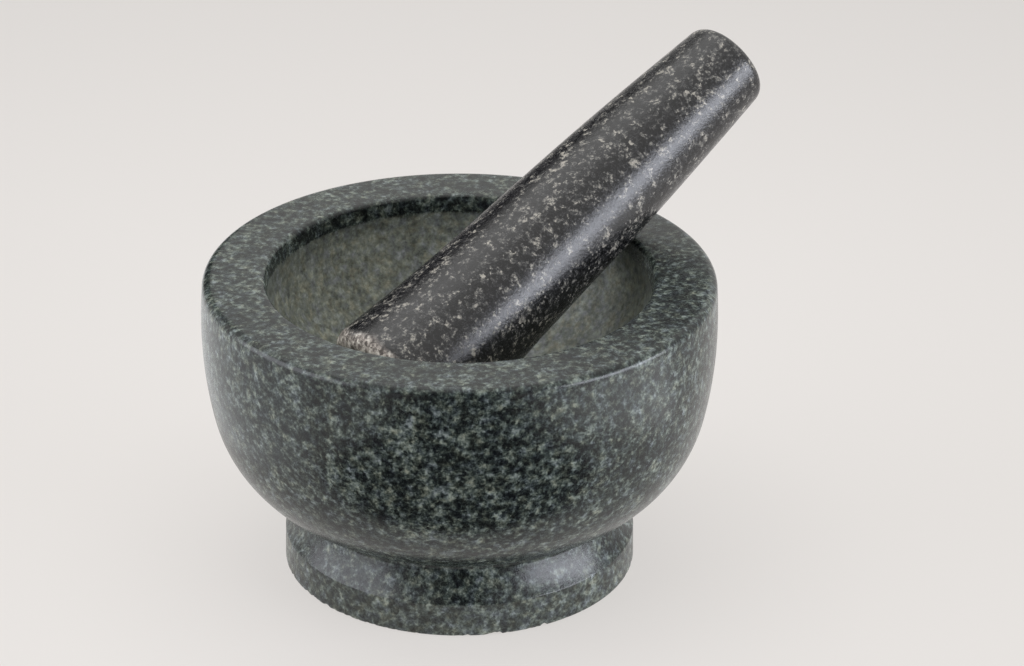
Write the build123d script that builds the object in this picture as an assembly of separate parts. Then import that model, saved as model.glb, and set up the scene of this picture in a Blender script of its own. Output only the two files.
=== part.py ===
from build123d import *
import os
from math import cos, radians, sin, sqrt

# A turned granite mortar with its loose granite pestle leaning in the bowl.
# Millimetres. The origin is the centre of the foot's flat underside, and +Z runs up the
# mortar's own axis.

# Mortar: an upright foot band, a hollow flare up to the neck, then the three arcs of the
# outside from the neck up to the rim
MORTAR_HEIGHT = 109.7
FOOT_RADIUS = 62.7
FOOT_BAND_RADIUS = 62.5
FOOT_BAND_HEIGHT = 12.4
FLARE_ARC = 36.0
NECK_RADIUS = 56.8
BELLY_ARC = 49.2
WALL_TURN_HEIGHT = 60.2
WALL_ARC = 145.4
WIDEST_RADIUS = 90.7
WIDEST_HEIGHT = 92.0
UPPER_WALL_ARC = 200.9

# Mortar: a short lip wall under the flat rim, then the ground bowl
MOUTH_RADIUS = 68.2
BOWL_RADIUS = 67.2
LIP_DEPTH = 5.8
BOWL_DEPTH = 61.0

# Mortar: rounding of its edges, and the cove where the belly meets the flare at the neck
RIM_OUTER_ROUND = 3.2
RIM_INNER_ROUND = 2.0
COVE_ROUND = 2.0
FOOT_BAND_ROUND = 1.0
FOOT_EDGE_ROUND = 0.8

# Pestle: a tapered round bar, widest at its grinding end, with a low crown on both ends
PESTLE_LENGTH = 184.0
GRINDING_END_RADIUS = 27.7
LOWER_BAR_RADIUS = 24.5
UPPER_BAR_RADIUS = 21.2
GRIP_END_RADIUS = 16.3
LOWER_BAR_SHARE = 0.21
UPPER_BAR_SHARE = 0.60
GRINDING_END_CROWN = 2.6
GRIP_END_CROWN = 1.2
GRINDING_EDGE_ROUND = 1.8
GRIP_EDGE_ROUND = 5.0

# Where the pestle lies: heading from +X towards +Y, and its rise above the horizontal.
# The crown of its grinding end is at PESTLE_FOOT, close over the bowl, and the bar passes
# close over the mouth's inner edge on the far side.
PESTLE_HEADING = 40.3
PESTLE_RISE = 27.4
PESTLE_FOOT = (-26.46, -32.31, 76.77)


def round_corner(half_section, corner, radius):
    """Round the corner of a half-section that lies nearest to a point."""
    fillet(half_section.vertices().sort_by_distance(corner)[0], radius)


def mortar():
    """Foot, belly, wall and flat rim around a bowl, all one turned piece of stone."""
    wall_centre_x = WIDEST_RADIUS - WALL_ARC
    turn_drop = WIDEST_HEIGHT - WALL_TURN_HEIGHT
    turn_radius = wall_centre_x + sqrt(WALL_ARC**2 - turn_drop**2)
    arc_share = BELLY_ARC / WALL_ARC
    belly_centre_x = turn_radius - (turn_radius - wall_centre_x) * arc_share
    belly_centre_z = WALL_TURN_HEIGHT + turn_drop * arc_share
    neck_reach = NECK_RADIUS - belly_centre_x
    neck_height = belly_centre_z - sqrt(BELLY_ARC**2 - neck_reach**2)
    rim_rise = MORTAR_HEIGHT - WIDEST_HEIGHT
    rim_radius = WIDEST_RADIUS - UPPER_WALL_ARC + sqrt(UPPER_WALL_ARC**2 - rim_rise**2)

    foot_edge = (FOOT_RADIUS, 0)
    band_top = (FOOT_BAND_RADIUS, FOOT_BAND_HEIGHT)
    neck = (NECK_RADIUS, neck_height)
    turn = (turn_radius, WALL_TURN_HEIGHT)
    widest = (WIDEST_RADIUS, WIDEST_HEIGHT)
    rim_outer = (rim_radius, MORTAR_HEIGHT)
    rim_inner = (MOUTH_RADIUS, MORTAR_HEIGHT)
    bowl_top = (BOWL_RADIUS, MORTAR_HEIGHT - LIP_DEPTH)
    bowl_floor = (0, MORTAR_HEIGHT - BOWL_DEPTH)

    with BuildPart() as stone:
        with BuildSketch(Plane.XZ) as half_section:
            with BuildLine():
                Polyline((0, 0), foot_edge, band_top)
                RadiusArc(band_top, neck, FLARE_ARC)
                RadiusArc(neck, turn, -BELLY_ARC)
                RadiusArc(turn, widest, -WALL_ARC)
                RadiusArc(widest, rim_outer, -UPPER_WALL_ARC)
                Polyline(rim_outer, rim_inner, bowl_top)
                EllipticalCenterArc(
                    (0, MORTAR_HEIGHT - LIP_DEPTH),
                    BOWL_RADIUS,
                    BOWL_DEPTH - LIP_DEPTH,
                    start_angle=270,
                    arc_size=90,
                )
                Line(bowl_floor, (0, 0))
            make_face()
            round_corner(half_section, foot_edge, FOOT_EDGE_ROUND)
            round_corner(half_section, band_top, FOOT_BAND_ROUND)
            round_corner(half_section, neck, COVE_ROUND)
            round_corner(half_section, rim_outer, RIM_OUTER_ROUND)
            round_corner(half_section, rim_inner, RIM_INNER_ROUND)
        revolve(axis=Axis.Z)
    return stone.part


def pestle():
    """A tapered bar turned about its own axis, then laid in place across the bowl."""
    grinding_edge = (GRINDING_END_RADIUS, GRINDING_END_CROWN)
    grip_edge = (GRIP_END_RADIUS, PESTLE_LENGTH - GRIP_END_CROWN)
    lower_bar = (LOWER_BAR_RADIUS, PESTLE_LENGTH * LOWER_BAR_SHARE)
    upper_bar = (UPPER_BAR_RADIUS, PESTLE_LENGTH * UPPER_BAR_SHARE)

    with BuildPart() as bar:
        with BuildSketch(Plane.XZ) as half_section:
            with BuildLine():
                TangentArc((0, 0), grinding_edge, tangent=(1, 0))
                Spline(grinding_edge, lower_bar, upper_bar, grip_edge)
                TangentArc((0, PESTLE_LENGTH), grip_edge, tangent=(1, 0))
                Line((0, PESTLE_LENGTH), (0, 0))
            make_face()
            round_corner(half_section, grinding_edge, GRINDING_EDGE_ROUND)
            round_corner(half_section, grip_edge, GRIP_EDGE_ROUND)
        revolve(axis=Axis.Z)

    heading = radians(PESTLE_HEADING)
    rise = radians(PESTLE_RISE)
    along = (cos(rise) * cos(heading), cos(rise) * sin(heading), sin(rise))
    sideways = (-sin(heading), cos(heading), 0)
    lying = Plane(origin=PESTLE_FOOT, x_dir=sideways, z_dir=along)
    return lying.location * bar.part


os.makedirs("parts", exist_ok=True)
for name, make in (("mortar", mortar), ("pestle", pestle)):
    export_step(make(), f"parts/{name}.step")
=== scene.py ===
"""The looks of a turned granite mortar and its pestle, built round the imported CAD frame."""

from math import acos, cos, pi, radians, sin, sqrt, tan

import bpy
import numpy as np
from mathutils import Matrix, Vector, noise


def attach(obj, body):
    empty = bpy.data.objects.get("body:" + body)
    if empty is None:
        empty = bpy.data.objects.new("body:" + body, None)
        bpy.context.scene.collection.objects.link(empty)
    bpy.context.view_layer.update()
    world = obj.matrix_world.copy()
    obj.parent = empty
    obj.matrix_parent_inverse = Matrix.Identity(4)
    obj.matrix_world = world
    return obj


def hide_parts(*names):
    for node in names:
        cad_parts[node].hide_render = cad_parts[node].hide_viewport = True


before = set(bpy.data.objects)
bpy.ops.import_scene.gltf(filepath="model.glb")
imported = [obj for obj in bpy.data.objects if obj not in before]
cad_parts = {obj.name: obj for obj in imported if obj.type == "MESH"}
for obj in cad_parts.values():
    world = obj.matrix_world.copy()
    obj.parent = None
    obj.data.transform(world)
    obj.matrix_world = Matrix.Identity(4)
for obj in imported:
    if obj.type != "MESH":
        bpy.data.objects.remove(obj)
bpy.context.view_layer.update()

MM = 0.001
SKIN = 0.05  # the visible skin lies this far inside the CAD surface, in mm

# Mortar, in mm: the outside from the foot up to the rim
MORTAR_HEIGHT = 109.7
FOOT_RADIUS = 62.7
FOOT_BAND_RADIUS = 62.5
FOOT_BAND_HEIGHT = 12.4
FLARE_ARC = 36.0
NECK_RADIUS = 56.8
BELLY_ARC = 49.2
WALL_TURN_HEIGHT = 60.2
WALL_ARC = 145.4
WIDEST_RADIUS = 90.7
WIDEST_HEIGHT = 92.0
UPPER_WALL_ARC = 200.9

# Mortar, in mm: the mouth, the bowl, and the rounding of each edge
MOUTH_RADIUS = 68.2
BOWL_RADIUS = 67.2
LIP_DEPTH = 5.8
BOWL_DEPTH = 61.0
RIM_OUTER_ROUND = 3.2
RIM_INNER_ROUND = 2.0
BOWL_TOP_ROUND = 1.2
COVE_ROUND = 2.0
FOOT_BAND_ROUND = 1.0
FOOT_EDGE_ROUND = 0.8

# Pestle, in mm: radii along the bar, measured from its grinding end
PESTLE_LENGTH = 184.0
GRINDING_END_RADIUS = 27.7
LOWER_BAR_RADIUS = 24.5
UPPER_BAR_RADIUS = 21.2
GRIP_END_RADIUS = 16.3
LOWER_BAR_SHARE = 0.21
UPPER_BAR_SHARE = 0.60
GRINDING_END_CROWN = 2.6
GRIP_END_CROWN = 1.2
GRINDING_EDGE_ROUND = 5.5
GRIP_EDGE_ROUND = 5.0

# Where the pestle lies: its heading from +X towards +Y, its rise, and its grinding end's crown
PESTLE_HEADING = 40.3
PESTLE_RISE = 27.4
PESTLE_FOOT = (-26.46, -32.31, 76.77)

# Camera: place in metres, and its turns in degrees
CAMERA_PLACE = (0.0, -1.29911, 0.719154)
CAMERA_YAW = 0.811
CAMERA_PITCH = 25.950
CAMERA_ROLL = 0.379
CAMERA_LENS = 144.35
SENSOR_WIDTH = 36.0

# Mortar's surface, in mm: size and depth of each kind of unevenness
POLISH_WAVE_SIZE = 34
POLISH_WAVE_DEPTH = 0.05
BOWL_PIT_SIZE = 4.2
BOWL_PIT_DEPTH = 0.11
CHIP_SIZE = 2.6
CHIPPED_STRETCH_SIZE = 45
CHIP_DEPTH = 0.75
CHIP_REACH = 0.9
GROUND_EDGE_WANDER_SIZE = 16
GROUND_EDGE_WANDER = 0.9

# Pestle's surface, in mm: the same, and where the rough end stops along the bar
BAR_WAVE_SIZE = 26
BAR_WAVE_DEPTH = 0.04
TOOLING_SIZE = 3.4
TOOLING_DEPTH = 0.24
ROUGH_END_FULL_TO = 4.6
ROUGH_END_GONE_BY = 7.4
ROUGH_EDGE_WANDER_SIZE = 13
ROUGH_EDGE_WANDER = 4.0

# Mortar's granite: each layer's grain size in mm and its weight in the tone, which runs
# from 0, dark, to 1, pale, and the constant that centres it on a half
MORTAR_CELL_SIZE = 1.2
MORTAR_CELL_WEIGHT = 0.16
MORTAR_FINE_SIZE = 1.0
MORTAR_FINE_WEIGHT = 0.62
MORTAR_MIDDLE_SIZE = 2.5
MORTAR_MIDDLE_WEIGHT = 1.25
MORTAR_CLOUD_SIZE = 8.0
MORTAR_CLOUD_WEIGHT = 0.55
MORTAR_TONE_SHIFT = -0.79
MORTAR_HUE_SIZE = 3.5
MORTAR_PIT_SIZE = 0.7
MORTAR_IOR = 1.45
SATIN_PALENESS = 0.12

# Pestle's granite: the same
PESTLE_CELL_SIZE = 1.4
PESTLE_CELL_WEIGHT = 0.36
PESTLE_CLOUD_SIZE = 4.2
PESTLE_CLOUD_WEIGHT = 1.20
PESTLE_DUST_SIZE = 0.9
PESTLE_DUST_WEIGHT = 0.80
PESTLE_TONE_SHIFT = -0.68
PESTLE_IOR = 1.54
PESTLE_ROUGH_END_ROUGHNESS = 0.75

# Both stones: depth in mm of the finest relief, which is bump alone
RELIEF_DEPTH = 0.30

# Stone colours, as stops over the tone; the tint is over a noise of its own
MORTAR_POLISHED = (
    (0.22, (0.004, 0.005, 0.006)),
    (0.38, (0.011, 0.014, 0.014)),
    (0.50, (0.027, 0.034, 0.032)),
    (0.64, (0.075, 0.088, 0.081)),
    (0.86, (0.205, 0.225, 0.207)),
)
MORTAR_GROUND = (
    (0.18, (0.100, 0.103, 0.091)),
    (0.40, (0.190, 0.196, 0.174)),
    (0.62, (0.285, 0.292, 0.262)),
    (0.88, (0.450, 0.458, 0.420)),
)
MORTAR_TINT = (
    (0.32, (0.93, 0.97, 1.10)),
    (0.50, (0.96, 1.02, 0.98)),
    (0.68, (1.05, 1.02, 0.88)),
)
PESTLE_POLISHED = (
    (0.24, (0.002, 0.002, 0.0025)),
    (0.46, (0.006, 0.006, 0.007)),
    (0.60, (0.026, 0.026, 0.027)),
    (0.70, (0.100, 0.097, 0.089)),
    (0.84, (0.320, 0.300, 0.260)),
)
PESTLE_ROUGH = (
    (0.28, (0.10, 0.085, 0.075)),
    (0.50, (0.42, 0.375, 0.335)),
    (0.72, (0.80, 0.75, 0.68)),
)

# Studio: light from all round, as radiance, and the paper floor with a painted glow of its own,
# brightest round the object, which keeps its shadows faint; lengths in metres
WORLD_IN_FRONT = 0.2
WORLD_BEHIND = 0.70
WORLD_OVERHEAD = 1.05
WORLD_COLOUR = (1.0, 0.99, 0.96, 1)
FLOOR_HALF_WIDTH = 12.0
FLOOR_FADE_START = 0.15
FLOOR_FADE_END = 0.70
FLOOR_COLOUR = (0.212, 0.204, 0.197)
FLOOR_GLOW = 0.55
FLOOR_EDGE_GLOW = 0.41
FLOOR_GLOW_COLOUR = (1.0, 0.965, 0.935)
AIM_HEIGHT = 0.09  # the softboxes face this height on the mortar's axis, in metres
DARK_CARD = (0.01, 0.01, 0.01)
GLOWING_CARD = (0, 0, 0)
CAMERA_SIDE_CARD = (0.02, 0.02, 0.02)
LEFT_REAR_CARD = (0.03, 0.03, 0.035)

# Fineness of the meshes: the step between rings, in mm, and the points round each ring
UNDERSIDE_STEP = 3.2
FOOT_STEP = 1.0
BELLY_STEP = 1.2
WALL_STEP = 1.5
LIP_STEP = 0.8
BOWL_STEP = 1.35
PESTLE_STEP = 0.9
MORTAR_TURNS = 416
PESTLE_TURNS = 240


# Outlines: half-sections in mm, as rows of (radius, height)


def circle_run(start, end, radius, step, side=1):
    """Points on an arc from start up to end; side 1 bulges away from the axis, -1 is hollow."""
    start, end = np.array(start, float), np.array(end, float)
    chord = end - start
    middle = (start + end) / 2
    inward = np.array((-chord[1], chord[0])) / np.linalg.norm(chord)
    centre = middle + side * inward * sqrt(radius**2 - (chord @ chord) / 4)
    first = np.arctan2(*(start - centre)[::-1])
    last = np.arctan2(*(end - centre)[::-1])
    sweep = (last - first + pi) % (2 * pi) - pi
    count = max(2, int(abs(sweep) * radius / step))
    turn = first + np.linspace(0, sweep, count + 1)
    return centre + radius * np.column_stack((np.cos(turn), np.sin(turn)))


def straight_run(start, end, step):
    """Evenly spaced points from start to end."""
    start, end = np.array(start, float), np.array(end, float)
    count = max(1, int(np.linalg.norm(end - start) / step))
    share = np.linspace(0, 1, count + 1)[:, None]
    return start + (end - start) * share


def bowl_run(step):
    """The ground hollow: a quarter of an ellipse from under the lip down to the axis."""
    deep = BOWL_DEPTH - LIP_DEPTH
    count = int(pi / 2 * BOWL_RADIUS / step)
    turn = np.linspace(0, pi / 2, count + 1)
    top = MORTAR_HEIGHT - LIP_DEPTH
    return np.column_stack((BOWL_RADIUS * np.cos(turn), top - deep * np.sin(turn)))


def rounded(before, after, radius, steps):
    """Two runs that meet at a corner, joined through a near-circular rounding of it."""
    corner = before[-1]
    back = before[-2] - corner
    back = back / np.linalg.norm(back)
    ahead = after[1] - corner
    ahead = ahead / np.linalg.norm(ahead)
    angle = acos(np.clip(back @ ahead, -1, 1))
    reach = radius / tan(angle / 2)
    handle = radius * 4 / 3 * tan((pi - angle) / 4)
    start, end = corner + back * reach, corner + ahead * reach
    t = np.linspace(0, 1, steps + 1)[:, None]
    curve = (
        (1 - t) ** 3 * start
        + 3 * t * (1 - t) ** 2 * (start - back * handle)
        + 3 * t**2 * (1 - t) * (end - ahead * handle)
        + t**3 * end
    )
    kept_before = before[np.linalg.norm(before - corner, axis=1) > reach * 1.2]
    kept_after = after[np.linalg.norm(after - corner, axis=1) > reach * 1.2]
    return np.vstack((kept_before, curve, kept_after))


def mortar_outline():
    """Foot, belly, wall, rim, lip and bowl, from the axis underneath to the axis inside."""
    wall_centre = WIDEST_RADIUS - WALL_ARC
    turn_drop = WIDEST_HEIGHT - WALL_TURN_HEIGHT
    turn_radius = wall_centre + sqrt(WALL_ARC**2 - turn_drop**2)
    share = BELLY_ARC / WALL_ARC
    belly_centre = turn_radius - (turn_radius - wall_centre) * share
    belly_height = WALL_TURN_HEIGHT + turn_drop * share
    neck_height = belly_height - sqrt(BELLY_ARC**2 - (NECK_RADIUS - belly_centre) ** 2)
    rim_rise = MORTAR_HEIGHT - WIDEST_HEIGHT
    rim_radius = WIDEST_RADIUS - UPPER_WALL_ARC + sqrt(UPPER_WALL_ARC**2 - rim_rise**2)

    foot_edge = (FOOT_RADIUS, 0)
    band_top = (FOOT_BAND_RADIUS, FOOT_BAND_HEIGHT)
    neck = (NECK_RADIUS, neck_height)
    turn = (turn_radius, WALL_TURN_HEIGHT)
    widest = (WIDEST_RADIUS, WIDEST_HEIGHT)
    rim_outer = (rim_radius, MORTAR_HEIGHT)
    rim_inner = (MOUTH_RADIUS, MORTAR_HEIGHT)
    bowl_top = (BOWL_RADIUS, MORTAR_HEIGHT - LIP_DEPTH)

    underside = straight_run((0, 0), foot_edge, UNDERSIDE_STEP)
    band = straight_run(foot_edge, band_top, FOOT_STEP)
    flare = circle_run(band_top, neck, FLARE_ARC, FOOT_STEP, side=-1)
    belly = circle_run(neck, turn, BELLY_ARC, BELLY_STEP)
    wall = circle_run(turn, widest, WALL_ARC, WALL_STEP)
    upper_wall = circle_run(widest, rim_outer, UPPER_WALL_ARC, WALL_STEP)
    rim = straight_run(rim_outer, rim_inner, WALL_STEP)
    lip = straight_run(rim_inner, bowl_top, LIP_STEP)

    outline = rounded(underside, band, FOOT_EDGE_ROUND, steps=4)
    outline = rounded(outline, flare, FOOT_BAND_ROUND, steps=4)
    outline = rounded(outline, belly, COVE_ROUND, steps=5)
    outline = np.vstack((outline, wall[1:], upper_wall[1:]))
    outline = rounded(outline, rim, RIM_OUTER_ROUND, steps=7)
    outline = rounded(outline, lip, RIM_INNER_ROUND, steps=7)
    return rounded(outline, bowl_run(BOWL_STEP), BOWL_TOP_ROUND, steps=3)


def crown_run(edge_radius, crown, step):
    """A shallow domed end, from the axis at height 0 out to the edge at the crown's height."""
    radius = (edge_radius**2 + crown**2) / (2 * crown)
    count = int(edge_radius / step)
    turn = np.linspace(0, np.arcsin(edge_radius / radius), count + 1)
    return np.column_stack((radius * np.sin(turn), radius * (1 - np.cos(turn))))


def smooth_run(knots, step):
    """A natural cubic spline through the knots, given as (radius, height) at rising height."""
    knots = np.array(knots, float)
    z, r = knots[:, 1], knots[:, 0]
    gap = np.diff(z)
    size = len(z)
    matrix = np.eye(size)
    right = np.zeros(size)
    for i in range(1, size - 1):
        matrix[i, i - 1 : i + 2] = gap[i - 1], 2 * (gap[i - 1] + gap[i]), gap[i]
        right[i] = 6 * ((r[i + 1] - r[i]) / gap[i] - (r[i] - r[i - 1]) / gap[i - 1])
    bend = np.linalg.solve(matrix, right)
    heights = np.linspace(z[0], z[-1], int((z[-1] - z[0]) / step) + 1)
    span = np.clip(np.searchsorted(z, heights, side="right") - 1, 0, size - 2)
    a = (z[span + 1] - heights) / gap[span]
    b = 1 - a
    curve = ((a**3 - a) * bend[span] + (b**3 - b) * bend[span + 1]) * gap[span] ** 2 / 6
    return np.column_stack((a * r[span] + b * r[span + 1] + curve, heights))


def pestle_outline():
    """Grinding end, tapered bar and grip end, from axis to axis, at rising height."""
    grinding_edge = (GRINDING_END_RADIUS, GRINDING_END_CROWN)
    grip_edge = (GRIP_END_RADIUS, PESTLE_LENGTH - GRIP_END_CROWN)
    lower_bar = (LOWER_BAR_RADIUS, PESTLE_LENGTH * LOWER_BAR_SHARE)
    upper_bar = (UPPER_BAR_RADIUS, PESTLE_LENGTH * UPPER_BAR_SHARE)

    grinding_end = crown_run(GRINDING_END_RADIUS, GRINDING_END_CROWN, PESTLE_STEP)
    bar = smooth_run((grinding_edge, lower_bar, upper_bar, grip_edge), PESTLE_STEP)
    grip_end = crown_run(GRIP_END_RADIUS, GRIP_END_CROWN, PESTLE_STEP)[::-1]
    grip_end[:, 1] = PESTLE_LENGTH - grip_end[:, 1]

    outline = rounded(grinding_end, bar, GRINDING_EDGE_ROUND, steps=9)
    return rounded(outline, grip_end, GRIP_EDGE_ROUND, steps=8)


# Meshes


def lathe(name, outline, turns):
    """A closed mesh turned from an outline that starts and ends on the axis; mm in, metres out."""
    rings = outline[1:-1]
    angle = np.arange(turns) * 2 * pi / turns
    radius, height = rings[:, :1], rings[:, 1:]
    x = radius * np.cos(angle)
    y = radius * np.sin(angle)
    z = np.broadcast_to(height, x.shape)
    points = np.stack((x, y, z), axis=-1).reshape(-1, 3)
    ends = np.array(((0, 0, outline[0, 1]), (0, 0, outline[-1, 1])))
    vertices = np.vstack((points, ends))

    low, high = len(points), len(points) + 1
    last_ring = (len(rings) - 1) * turns
    faces = []
    for j in range(turns):
        k = (j + 1) % turns
        faces.append((low, k, j))
        faces.append((last_ring + j, last_ring + k, high))
        for i in range(len(rings) - 1):
            a, b = i * turns, (i + 1) * turns
            faces.append((a + j, a + k, b + k, b + j))
    mesh = bpy.data.meshes.new(name)
    mesh.from_pydata((vertices * MM).tolist(), [], faces)
    mesh.polygons.foreach_set("use_smooth", [True] * len(mesh.polygons))
    mesh.update()
    return mesh


def mesh_arrays(mesh):
    """Vertex places in mm and vertex normals, as arrays."""
    count = len(mesh.vertices)
    places = np.empty(count * 3)
    mesh.vertices.foreach_get("co", places)
    normals = np.empty(count * 3)
    mesh.vertex_normals.foreach_get("vector", normals)
    return places.reshape(-1, 3) / MM, normals.reshape(-1, 3)


def grain_field(places, size, shift, octaves):
    """Smooth noise in about -1 to 1 at each place; size is its largest feature in mm, and each
    shift gives another pattern."""
    offset = Vector((shift, shift * 0.37, -shift * 0.61))
    return np.array([noise.fractal(Vector(p) / size + offset, 1.0, 2.0, octaves) for p in places])


def ramp(values, start, end):
    """0 below start, 1 above end, and a smooth step between."""
    t = np.clip((values - start) / (end - start), 0, 1)
    return t * t * (3 - 2 * t)


def paint_mask(mesh, name, mask):
    """A value of 0 to 1 on each vertex, for the materials to read."""
    layer = mesh.attributes.new(name, "FLOAT", "POINT")
    layer.data.foreach_set("value", mask.astype(np.float32))


def write_places(mesh, places):
    """Write the moved vertices back; mm in, metres out."""
    mesh.vertices.foreach_set("co", (places * MM).ravel())
    mesh.update()


def chip_foot_edge(places, radius, height):
    """Small chips bitten out of the foot's lower edge, along some stretches of it."""
    near_floor = np.exp(-((height / CHIP_REACH) ** 2))
    edge_nearness = near_floor * ramp(radius, FOOT_RADIUS - 3, FOOT_RADIUS - 0.8)
    grain = grain_field(places * (1, 1, 0.3), CHIP_SIZE, shift=21.9, octaves=3)
    stretch = grain_field(places * (1, 1, 0), CHIPPED_STRETCH_SIZE, shift=33.3, octaves=1)
    bite = CHIP_DEPTH * ramp(grain, -0.1, 0.7) * ramp(stretch, -0.25, 0.2) * edge_nearness
    places[:, 2] += bite * 0.9
    outward = places[:, :2] / np.maximum(radius, 1e-6)[:, None]
    places[:, :2] -= outward * (bite * 0.45)[:, None]
    places[:, 2] = np.maximum(places[:, 2], 0)
    return places


def build_mortar():
    """The mortar: polished outside, ground bowl and underside with painted rim shade high in the
    bowl, and a chipped foot edge.
    """
    mesh = lathe("mortar_stone_body", mortar_outline(), MORTAR_TURNS)
    places, normals = mesh_arrays(mesh)
    radius = np.hypot(places[:, 0], places[:, 1])
    height = places[:, 2]
    waves = grain_field(places, POLISH_WAVE_SIZE, shift=3.1, octaves=2)
    pitting = grain_field(places, BOWL_PIT_SIZE, shift=11.7, octaves=4)

    lip_bottom = MORTAR_HEIGHT - LIP_DEPTH
    inside = (radius < MOUTH_RADIUS) & (height > MORTAR_HEIGHT - BOWL_DEPTH - 1)
    wander = grain_field(places, GROUND_EDGE_WANDER_SIZE, shift=5.3, octaves=3)
    below_lip = lip_bottom - height + wander * GROUND_EDGE_WANDER
    # Under the lip the ground finish comes in to about half over 1.6 mm and is full only 11 mm
    # down. That slow part leaves the bowl's upper wall darker and glossier. It is partly a real
    # gradual change from polish to grinding and partly painted shade of the rim.
    bowl = inside * ramp(below_lip, 0.0, 1.6) * (0.55 + 0.45 * ramp(below_lip, 1.5, 11))
    underside = (height < 0.3) * ramp(FOOT_RADIUS - 1.2 - radius, 0.0, 0.6)

    waviness = POLISH_WAVE_DEPTH * (waves + 1) * (1 - bowl)
    pits = BOWL_PIT_DEPTH * (pitting + 1) * bowl
    places = places - normals * (SKIN + waviness + pits)[:, None]
    places = chip_foot_edge(places, radius, height)

    below_band_top = FOOT_BAND_HEIGHT + 0.4 * pitting - height
    foot_band = (radius > FOOT_RADIUS - 2) * ramp(below_band_top, -0.2, 0.4)
    paint_mask(mesh, "satin", foot_band * (1 - underside))
    # The worked mask carries the ground finish of bowl and underside, and with it the painted rim
    # shade high in the bowl.
    paint_mask(mesh, "worked", np.maximum(bowl, underside))
    write_places(mesh, places)
    return mesh


def build_pestle():
    """The pestle along its own axis: a polished bar with a rough, paler grinding end."""
    mesh = lathe("pestle_stone_body", pestle_outline(), PESTLE_TURNS)
    places, normals = mesh_arrays(mesh)
    along = places[:, 2]
    waves = grain_field(places, BAR_WAVE_SIZE, shift=8.3, octaves=2)
    tooling = grain_field(places, TOOLING_SIZE, shift=15.1, octaves=4)
    wander = grain_field(places, ROUGH_EDGE_WANDER_SIZE, shift=27.5, octaves=3)
    past_end = along + wander * ROUGH_EDGE_WANDER
    rough = 1 - ramp(past_end, ROUGH_END_FULL_TO, ROUGH_END_GONE_BY)
    sink = SKIN + BAR_WAVE_DEPTH * (waves + 1) + TOOLING_DEPTH * (tooling + 1) * rough
    places = places - normals * sink[:, None]
    paint_mask(mesh, "worked", rough)
    write_places(mesh, places)
    mesh.transform(pestle_frame())
    return mesh


def pestle_frame():
    """The turn and place that lay the pestle across the bowl."""
    heading, rise = radians(PESTLE_HEADING), radians(PESTLE_RISE)
    along = Vector((cos(rise) * cos(heading), cos(rise) * sin(heading), sin(rise)))
    sideways = Vector((-sin(heading), cos(heading), 0))
    turn = Matrix((sideways, along.cross(sideways), along)).transposed().to_4x4()
    return Matrix.Translation(Vector(PESTLE_FOOT) * MM) @ turn


# Stone


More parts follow.
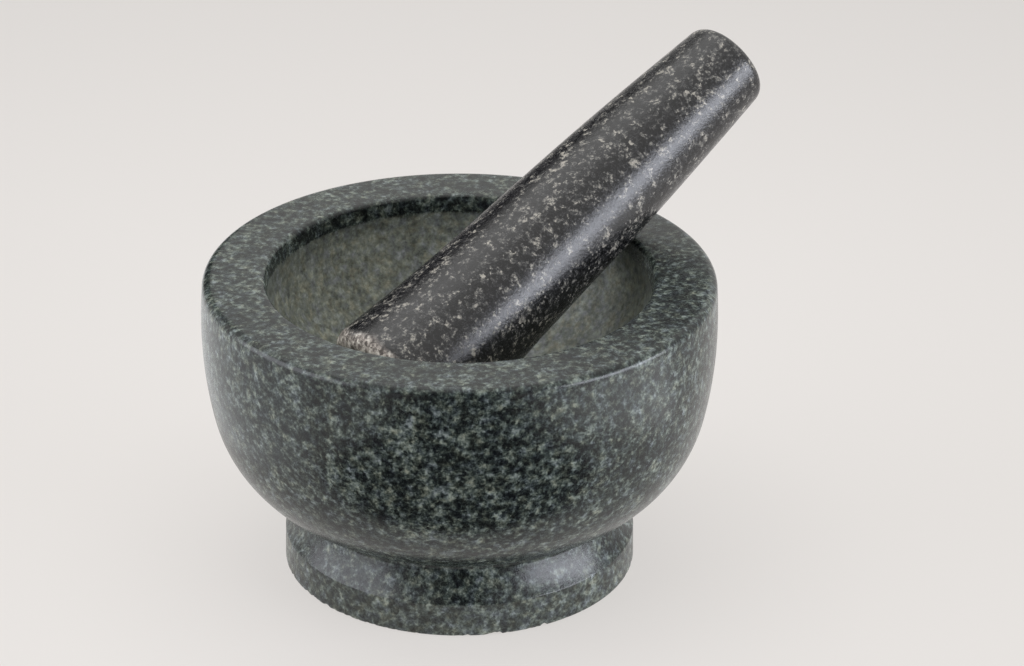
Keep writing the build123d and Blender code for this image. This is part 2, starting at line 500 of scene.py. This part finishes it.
class Stone:
    """A node material with short calls for its textures and sums."""

    def __init__(self, name):
        self.material = bpy.data.materials.new(name)
        self.material.use_nodes = True
        self.nodes = self.material.node_tree.nodes
        self.links = self.material.node_tree.links
        self.shader = self.nodes["Principled BSDF"]
        self.place = self.nodes.new("ShaderNodeTexCoord").outputs["Object"]

    def feed(self, socket, value):
        """Link an output to a socket, or set the socket to a plain value."""
        if isinstance(value, bpy.types.NodeSocket):
            self.links.new(value, socket)
        else:
            socket.default_value = value

    def noise(self, size, detail=2.0, rough=0.5, place=None, shift=None):
        """Cloudy noise whose largest feature is about size mm; shift gives another pattern."""
        node = self.nodes.new("ShaderNodeTexNoise")
        node.inputs["Scale"].default_value = 1 / (size * MM)
        node.inputs["Detail"].default_value = detail
        node.inputs["Roughness"].default_value = rough
        self.links.new(self.moved(place or self.place, shift), node.inputs["Vector"])
        return node

    def cells(self, size, place):
        """Grains of about size mm, each with a colour of its own."""
        node = self.nodes.new("ShaderNodeTexVoronoi")
        node.inputs["Scale"].default_value = 1 / (size * MM)
        self.links.new(place, node.inputs["Vector"])
        return node

    def moved(self, place, shift):
        """The place moved by shift mm along each axis, or as it is."""
        if shift is None:
            return place
        node = self.nodes.new("ShaderNodeVectorMath")
        self.links.new(place, node.inputs[0])
        node.inputs[1].default_value = (shift * MM, -shift * MM, 2 * shift * MM)
        return node.outputs[0]

    def warped(self, size, reach):
        """The place pushed about by noise of that size, by up to reach mm."""
        cloud = self.noise(size, 2.0)
        centred = self.nodes.new("ShaderNodeVectorMath")
        centred.operation = "SUBTRACT"
        self.links.new(cloud.outputs["Color"], centred.inputs[0])
        centred.inputs[1].default_value = (0.5, 0.5, 0.5)
        push = self.nodes.new("ShaderNodeVectorMath")
        push.operation = "MULTIPLY_ADD"
        self.links.new(centred.outputs[0], push.inputs[0])
        push.inputs[1].default_value = (2 * reach * MM,) * 3
        self.links.new(self.place, push.inputs[2])
        return push.outputs[0]

    def math(self, operation, a, b=0.0, c=0.0):
        """One sum of values or outputs."""
        node = self.nodes.new("ShaderNodeMath")
        node.operation = operation
        for socket, value in zip(node.inputs, (a, b, c)):
            self.feed(socket, value)
        return node.outputs[0]

    def curve(self, value, stops):
        """A colour ramp over (position, colour) stops."""
        node = self.nodes.new("ShaderNodeValToRGB")
        elements = node.color_ramp.elements
        while len(elements) < len(stops):
            elements.new(0.5)
        for element, (position, colour) in zip(elements, stops):
            element.position = position
            element.color = (*colour, 1)
        self.links.new(value, node.inputs["Fac"])
        return node.outputs["Color"]

    def mix(self, factor, a, b, blend="MIX"):
        """Two colours mixed by a factor."""
        node = self.nodes.new("ShaderNodeMix")
        node.data_type = "RGBA"
        node.blend_type = blend
        self.feed(node.inputs["Factor"], factor)
        self.feed(node.inputs[6], a)
        self.feed(node.inputs[7], b)
        return node.outputs[2]

    def red(self, colour):
        """The first channel of a colour, as a value."""
        node = self.nodes.new("ShaderNodeSeparateColor")
        self.links.new(colour, node.inputs[0])
        return node.outputs[0]

    def mask(self, name):
        """A value painted on the mesh."""
        node = self.nodes.new("ShaderNodeAttribute")
        node.attribute_name = name
        return node.outputs["Fac"]

    def bump(self, height, depth):
        """A relief of depth mm over a height of 0 to 1."""
        node = self.nodes.new("ShaderNodeBump")
        node.inputs["Distance"].default_value = depth * MM
        self.links.new(height, node.inputs["Height"])
        return node.outputs["Normal"]


def grey(value):
    """A colour with three equal channels."""
    return (value, value, value, 1)


def mortar_granite():
    """Dark green-grey granite with pale flecks: polished outside, ground dull inside, with painted
    rim shade high in the bowl.
    """
    stone = Stone("mortar_granite")
    place = stone.warped(1.4, 0.5)
    worked = stone.mask("worked")
    satin = stone.mask("satin")

    cells = stone.red(stone.cells(MORTAR_CELL_SIZE, place).outputs["Color"])
    fine = stone.noise(MORTAR_FINE_SIZE, 3.0, 0.6, place, shift=40).outputs["Fac"]
    middle = stone.noise(MORTAR_MIDDLE_SIZE, 3.0, 0.6, place, shift=90).outputs["Fac"]
    cloud = stone.noise(MORTAR_CLOUD_SIZE, 2.0, 0.5, shift=140).outputs["Fac"]
    tone = stone.math("MULTIPLY_ADD", fine, MORTAR_FINE_WEIGHT, MORTAR_TONE_SHIFT)
    tone = stone.math("MULTIPLY_ADD", middle, MORTAR_MIDDLE_WEIGHT, tone)
    tone = stone.math("MULTIPLY_ADD", cloud, MORTAR_CLOUD_WEIGHT, tone)
    tone = stone.math("MULTIPLY_ADD", cells, MORTAR_CELL_WEIGHT, tone)

    polished = stone.curve(tone, MORTAR_POLISHED)
    ground = stone.curve(tone, MORTAR_GROUND)
    hue = stone.noise(MORTAR_HUE_SIZE, 2.0, 0.6, shift=210).outputs["Fac"]
    tint = stone.curve(hue, MORTAR_TINT)
    base = stone.mix(stone.math("MULTIPLY", satin, SATIN_PALENESS), polished, ground)
    # Worked places take the ground colours. High in the bowl the mask is weaker, so the colour
    # stays darker there, partly for the change of finish and partly as painted shade of the rim.
    base = stone.mix(worked, base, ground)
    base = stone.mix(1.0, base, tint, "MULTIPLY")
    stone.feed(stone.shader.inputs["Base Color"], base)

    gloss = stone.math("MULTIPLY_ADD", fine, 0.40, 0.04)
    gloss = stone.math("MULTIPLY_ADD", satin, 0.05, gloss)
    dull = stone.math("MULTIPLY_ADD", fine, 0.16, 0.40)
    roughness = stone.red(stone.mix(worked, gloss, dull))
    stone.feed(stone.shader.inputs["Roughness"], roughness)
    stone.shader.inputs["IOR"].default_value = MORTAR_IOR

    pits = stone.noise(MORTAR_PIT_SIZE, 3.0, 0.65, shift=300).outputs["Fac"]
    deep = stone.math("MULTIPLY_ADD", worked, 0.6, 0.18)
    deep = stone.math("MULTIPLY_ADD", satin, 0.15, deep)
    relief = stone.math("MULTIPLY", pits, deep)
    stone.feed(stone.shader.inputs["Normal"], stone.bump(relief, RELIEF_DEPTH))
    return stone.material


def pestle_granite():
    """Near-black granite with clustered pale specks, rough and pale at its grinding end."""
    stone = Stone("pestle_granite")
    place = stone.warped(1.3, 0.55)
    worked = stone.mask("worked")

    cells = stone.red(stone.cells(PESTLE_CELL_SIZE, place).outputs["Color"])
    cloud = stone.noise(PESTLE_CLOUD_SIZE, 4.0, 0.75, shift=70).outputs["Fac"]
    dust = stone.noise(PESTLE_DUST_SIZE, 3.0, 0.7, shift=120).outputs["Fac"]
    tone = stone.math("MULTIPLY_ADD", cells, PESTLE_CELL_WEIGHT, PESTLE_TONE_SHIFT)
    tone = stone.math("MULTIPLY_ADD", cloud, PESTLE_CLOUD_WEIGHT, tone)
    tone = stone.math("MULTIPLY_ADD", dust, PESTLE_DUST_WEIGHT, tone)

    polished = stone.curve(tone, PESTLE_POLISHED)
    rough_stone = stone.curve(tone, PESTLE_ROUGH)
    base = stone.mix(worked, polished, rough_stone)
    stone.feed(stone.shader.inputs["Base Color"], base)

    gloss = stone.math("MULTIPLY_ADD", dust, 0.45, 0.02)
    roughness = stone.red(stone.mix(worked, gloss, grey(PESTLE_ROUGH_END_ROUGHNESS)))
    stone.feed(stone.shader.inputs["Roughness"], roughness)
    stone.shader.inputs["IOR"].default_value = PESTLE_IOR

    relief = stone.math("MULTIPLY", dust, stone.math("MULTIPLY_ADD", worked, 0.6, 0.40))
    stone.feed(stone.shader.inputs["Normal"], stone.bump(relief, RELIEF_DEPTH))
    return stone.material


def add_piece(name, mesh, material, body, node):
    """Put a finished mesh in the scene, riding on its body in place of its CAD node."""
    piece = bpy.data.objects.new(name, mesh)
    bpy.context.scene.collection.objects.link(piece)
    mesh.materials.append(material)
    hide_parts(node)
    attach(piece, body)
    return piece


# Studio


def plain_material(name, colour, glow=0.0, glow_colour=(1, 1, 1)):
    """A material for floor and cards, which are no part of the object."""
    material = bpy.data.materials.new(name)
    material.use_nodes = True
    shader = material.node_tree.nodes["Principled BSDF"]
    shader.inputs["Base Color"].default_value = (*colour, 1)
    shader.inputs["Roughness"].default_value = 0.9
    shader.inputs["Specular IOR Level"].default_value = 0.0
    shader.inputs["Emission Color"].default_value = (*glow_colour, 1)
    shader.inputs["Emission Strength"].default_value = glow
    return material


def sheet_object(name, corners, material):
    """One flat four-cornered sheet of the studio."""
    mesh = bpy.data.meshes.new(name)
    mesh.from_pydata([tuple(c) for c in corners], [], [(0, 1, 2, 3)])
    mesh.materials.append(material)
    sheet = bpy.data.objects.new(name, mesh)
    bpy.context.scene.collection.objects.link(sheet)
    return sheet


def mirrored_card(name, corners, colour, glow=0.0):
    """A studio card that shows only as a reflection in polished stone."""
    card = sheet_object(name, corners, plain_material(name, colour, glow=glow))
    card.visible_camera = False
    card.visible_diffuse = False
    card.visible_shadow = False
    card.visible_transmission = False
    return card


def towards(azimuth, elevation):
    """A direction; azimuth 0 is the camera's side and 90 is +X, both in degrees."""
    a, e = radians(azimuth), radians(elevation)
    return Vector((sin(a) * cos(e), -cos(a) * cos(e), sin(e)))


def softbox(name, azimuth, elevation, distance, width, height, radiance, tint=(1, 1, 1)):
    """A rectangular soft light that faces the object."""
    data = bpy.data.lights.new(name, "AREA")
    data.shape = "RECTANGLE"
    data.size = width
    data.size_y = height
    data.energy = radiance * pi * width * height
    data.color = tint
    lamp = bpy.data.objects.new(name, data)
    bpy.context.scene.collection.objects.link(lamp)
    way = towards(azimuth, elevation)
    lamp.location = Vector((0, 0, AIM_HEIGHT)) + way * distance
    lamp.rotation_euler = (-way).to_track_quat("-Z", "Y").to_euler()
    lamp.visible_camera = False
    return lamp


def map_range(tree, value, start, end, low=0.0, high=1.0):
    """low where the value is at start, high where it is at end, and a straight line between."""
    node = tree.nodes.new("ShaderNodeMapRange")
    tree.links.new(value, node.inputs["Value"])
    node.inputs["From Min"].default_value = start
    node.inputs["From Max"].default_value = end
    node.inputs["To Min"].default_value = low
    node.inputs["To Max"].default_value = high
    return node.outputs[0]


def add_floor():
    """A wide plain pale floor under the mortar's foot, with a painted glow that is brightest round
    the object and fades away from it.
    """
    half = FLOOR_HALF_WIDTH
    corners = ((-half, -half, 0), (half, -half, 0), (half, half, 0), (-half, half, 0))
    glowing_paper = plain_material("floor_paper_painted_glow", FLOOR_COLOUR, FLOOR_GLOW, FLOOR_GLOW_COLOUR)
    tree = glowing_paper.node_tree
    place = tree.nodes.new("ShaderNodeTexCoord").outputs["Object"]
    away = tree.nodes.new("ShaderNodeVectorMath")
    away.operation = "LENGTH"
    tree.links.new(place, away.inputs[0])
    distance = away.outputs["Value"]
    # Painted glow: full strength near the object, falling to the edge glow further off, a painted
    # pool of light on the floor
    glow = map_range(
        tree, distance, FLOOR_FADE_START, FLOOR_FADE_END, FLOOR_GLOW, FLOOR_EDGE_GLOW
    )
    tree.links.new(glow, tree.nodes["Principled BSDF"].inputs["Emission Strength"])
    return sheet_object("floor", corners, glowing_paper)


def add_world():
    """Soft pale light: strongest overhead, fair behind and weak from the camera's side."""
    world = bpy.data.worlds.new("studio")
    world.use_nodes = True
    tree = world.node_tree
    way = tree.nodes.new("ShaderNodeSeparateXYZ")
    tree.links.new(tree.nodes.new("ShaderNodeTexCoord").outputs["Generated"], way.inputs[0])
    behind = map_range(tree, way.outputs["Y"], -0.5, 0.5, WORLD_IN_FRONT, WORLD_BEHIND)
    above = map_range(tree, way.outputs["Z"], 0.15, 0.85)
    level = tree.nodes.new("ShaderNodeMix")
    tree.links.new(above, level.inputs["Factor"])
    tree.links.new(behind, level.inputs["A"])
    level.inputs["B"].default_value = WORLD_OVERHEAD
    background = tree.nodes["Background"]
    background.inputs["Color"].default_value = WORLD_COLOUR
    tree.links.new(level.outputs["Result"], background.inputs["Strength"])
    bpy.context.scene.world = world


def upright_card(name, azimuth, distance, width, low, high, colour):
    """A mirrored card that stands across the azimuth, between two heights."""
    middle = towards(azimuth, 0) * distance
    across = towards(azimuth + 90, 0) * (width / 2)
    corners = []
    for side, height in ((-1, low), (1, low), (1, high), (-1, high)):
        corner = middle + across * side
        corner.z = height
        corners.append(corner)
    return mirrored_card(name, corners, colour)


def floor_card(name, outline, colour, glow=0.0, lift=0.003):
    """A mirrored card that lies just over the floor; outline and lift are in metres."""
    corners = [(x, y, lift) for x, y in outline]
    return mirrored_card(name, corners, colour, glow)


def add_softboxes():
    """Soft lights overhead, to the right and to the left."""
    softbox(
        "overhead_softbox",
        azimuth=-150,
        elevation=72,
        distance=1.3,
        width=1.3,
        height=1.1,
        radiance=0.9,
    )
    softbox(
        "right_softbox",
        azimuth=70,
        elevation=10,
        distance=3.0,
        width=2.85,
        height=1.26,
        radiance=7.3,
        tint=(0.94, 0.97, 1.07),
    )
    softbox(
        "left_softbox",
        azimuth=-78,
        elevation=17,
        distance=3.0,
        width=3.60,
        height=2.16,
        radiance=2.9,
        tint=(0.96, 0.97, 1.05),
    )


def add_cards():
    """The cards that shape the reflections in the polished stone."""
    front = ((-0.26, -1.6), (0.26, -1.6), (0.13, -0.10), (-0.13, -0.10))
    floor_card("front_dark_card", front, DARK_CARD, lift=0.002)
    left = ((-1.3, -0.8), (-0.14, -0.09), (-0.09, 0.5), (-1.3, 1.2))
    floor_card("left_floor_card", left, GLOWING_CARD, glow=1.12)
    right = ((0.19, -0.30), (0.62, -0.30), (0.62, 0.0), (0.19, 0.0))
    floor_card("right_floor_card", right, GLOWING_CARD, glow=2.1)
    upright_card(
        "camera_side_card",
        azimuth=0,
        distance=1.5,
        width=0.95,
        low=0.0,
        high=1.9,
        colour=CAMERA_SIDE_CARD,
    )
    upright_card(
        "left_rear_card",
        azimuth=-154,
        distance=1.2,
        width=0.62,
        low=0.03,
        high=0.92,
        colour=LEFT_REAR_CARD,
    )


def add_camera():
    """The viewing angle: a long lens a little over a metre away, looking down."""
    yaw, pitch, roll = radians(CAMERA_YAW), radians(CAMERA_PITCH), radians(CAMERA_ROLL)
    forward = Vector((sin(yaw) * cos(pitch), cos(yaw) * cos(pitch), -sin(pitch)))
    level = Vector((cos(yaw), -sin(yaw), 0))
    upward = level.cross(forward)
    right = level * cos(roll) + upward * sin(roll)
    up = upward * cos(roll) - level * sin(roll)
    data = bpy.data.cameras.new("camera")
    data.lens = CAMERA_LENS
    data.sensor_width = SENSOR_WIDTH
    data.clip_start = 0.01
    data.clip_end = 100
    camera = bpy.data.objects.new("camera", data)
    bpy.context.scene.collection.objects.link(camera)
    turn = Matrix((right, up, -forward)).transposed().to_4x4()
    camera.matrix_world = Matrix.Translation(CAMERA_PLACE) @ turn
    bpy.context.scene.camera = camera


add_camera()
add_floor()
add_world()
add_softboxes()
add_cards()
add_piece("mortar_body", build_mortar(), mortar_granite(), "mortar", "mortar")
add_piece("pestle_body", build_pestle(), pestle_granite(), "pestle", "pestle")
bpy.context.scene.view_settings.view_transform = "Standard"
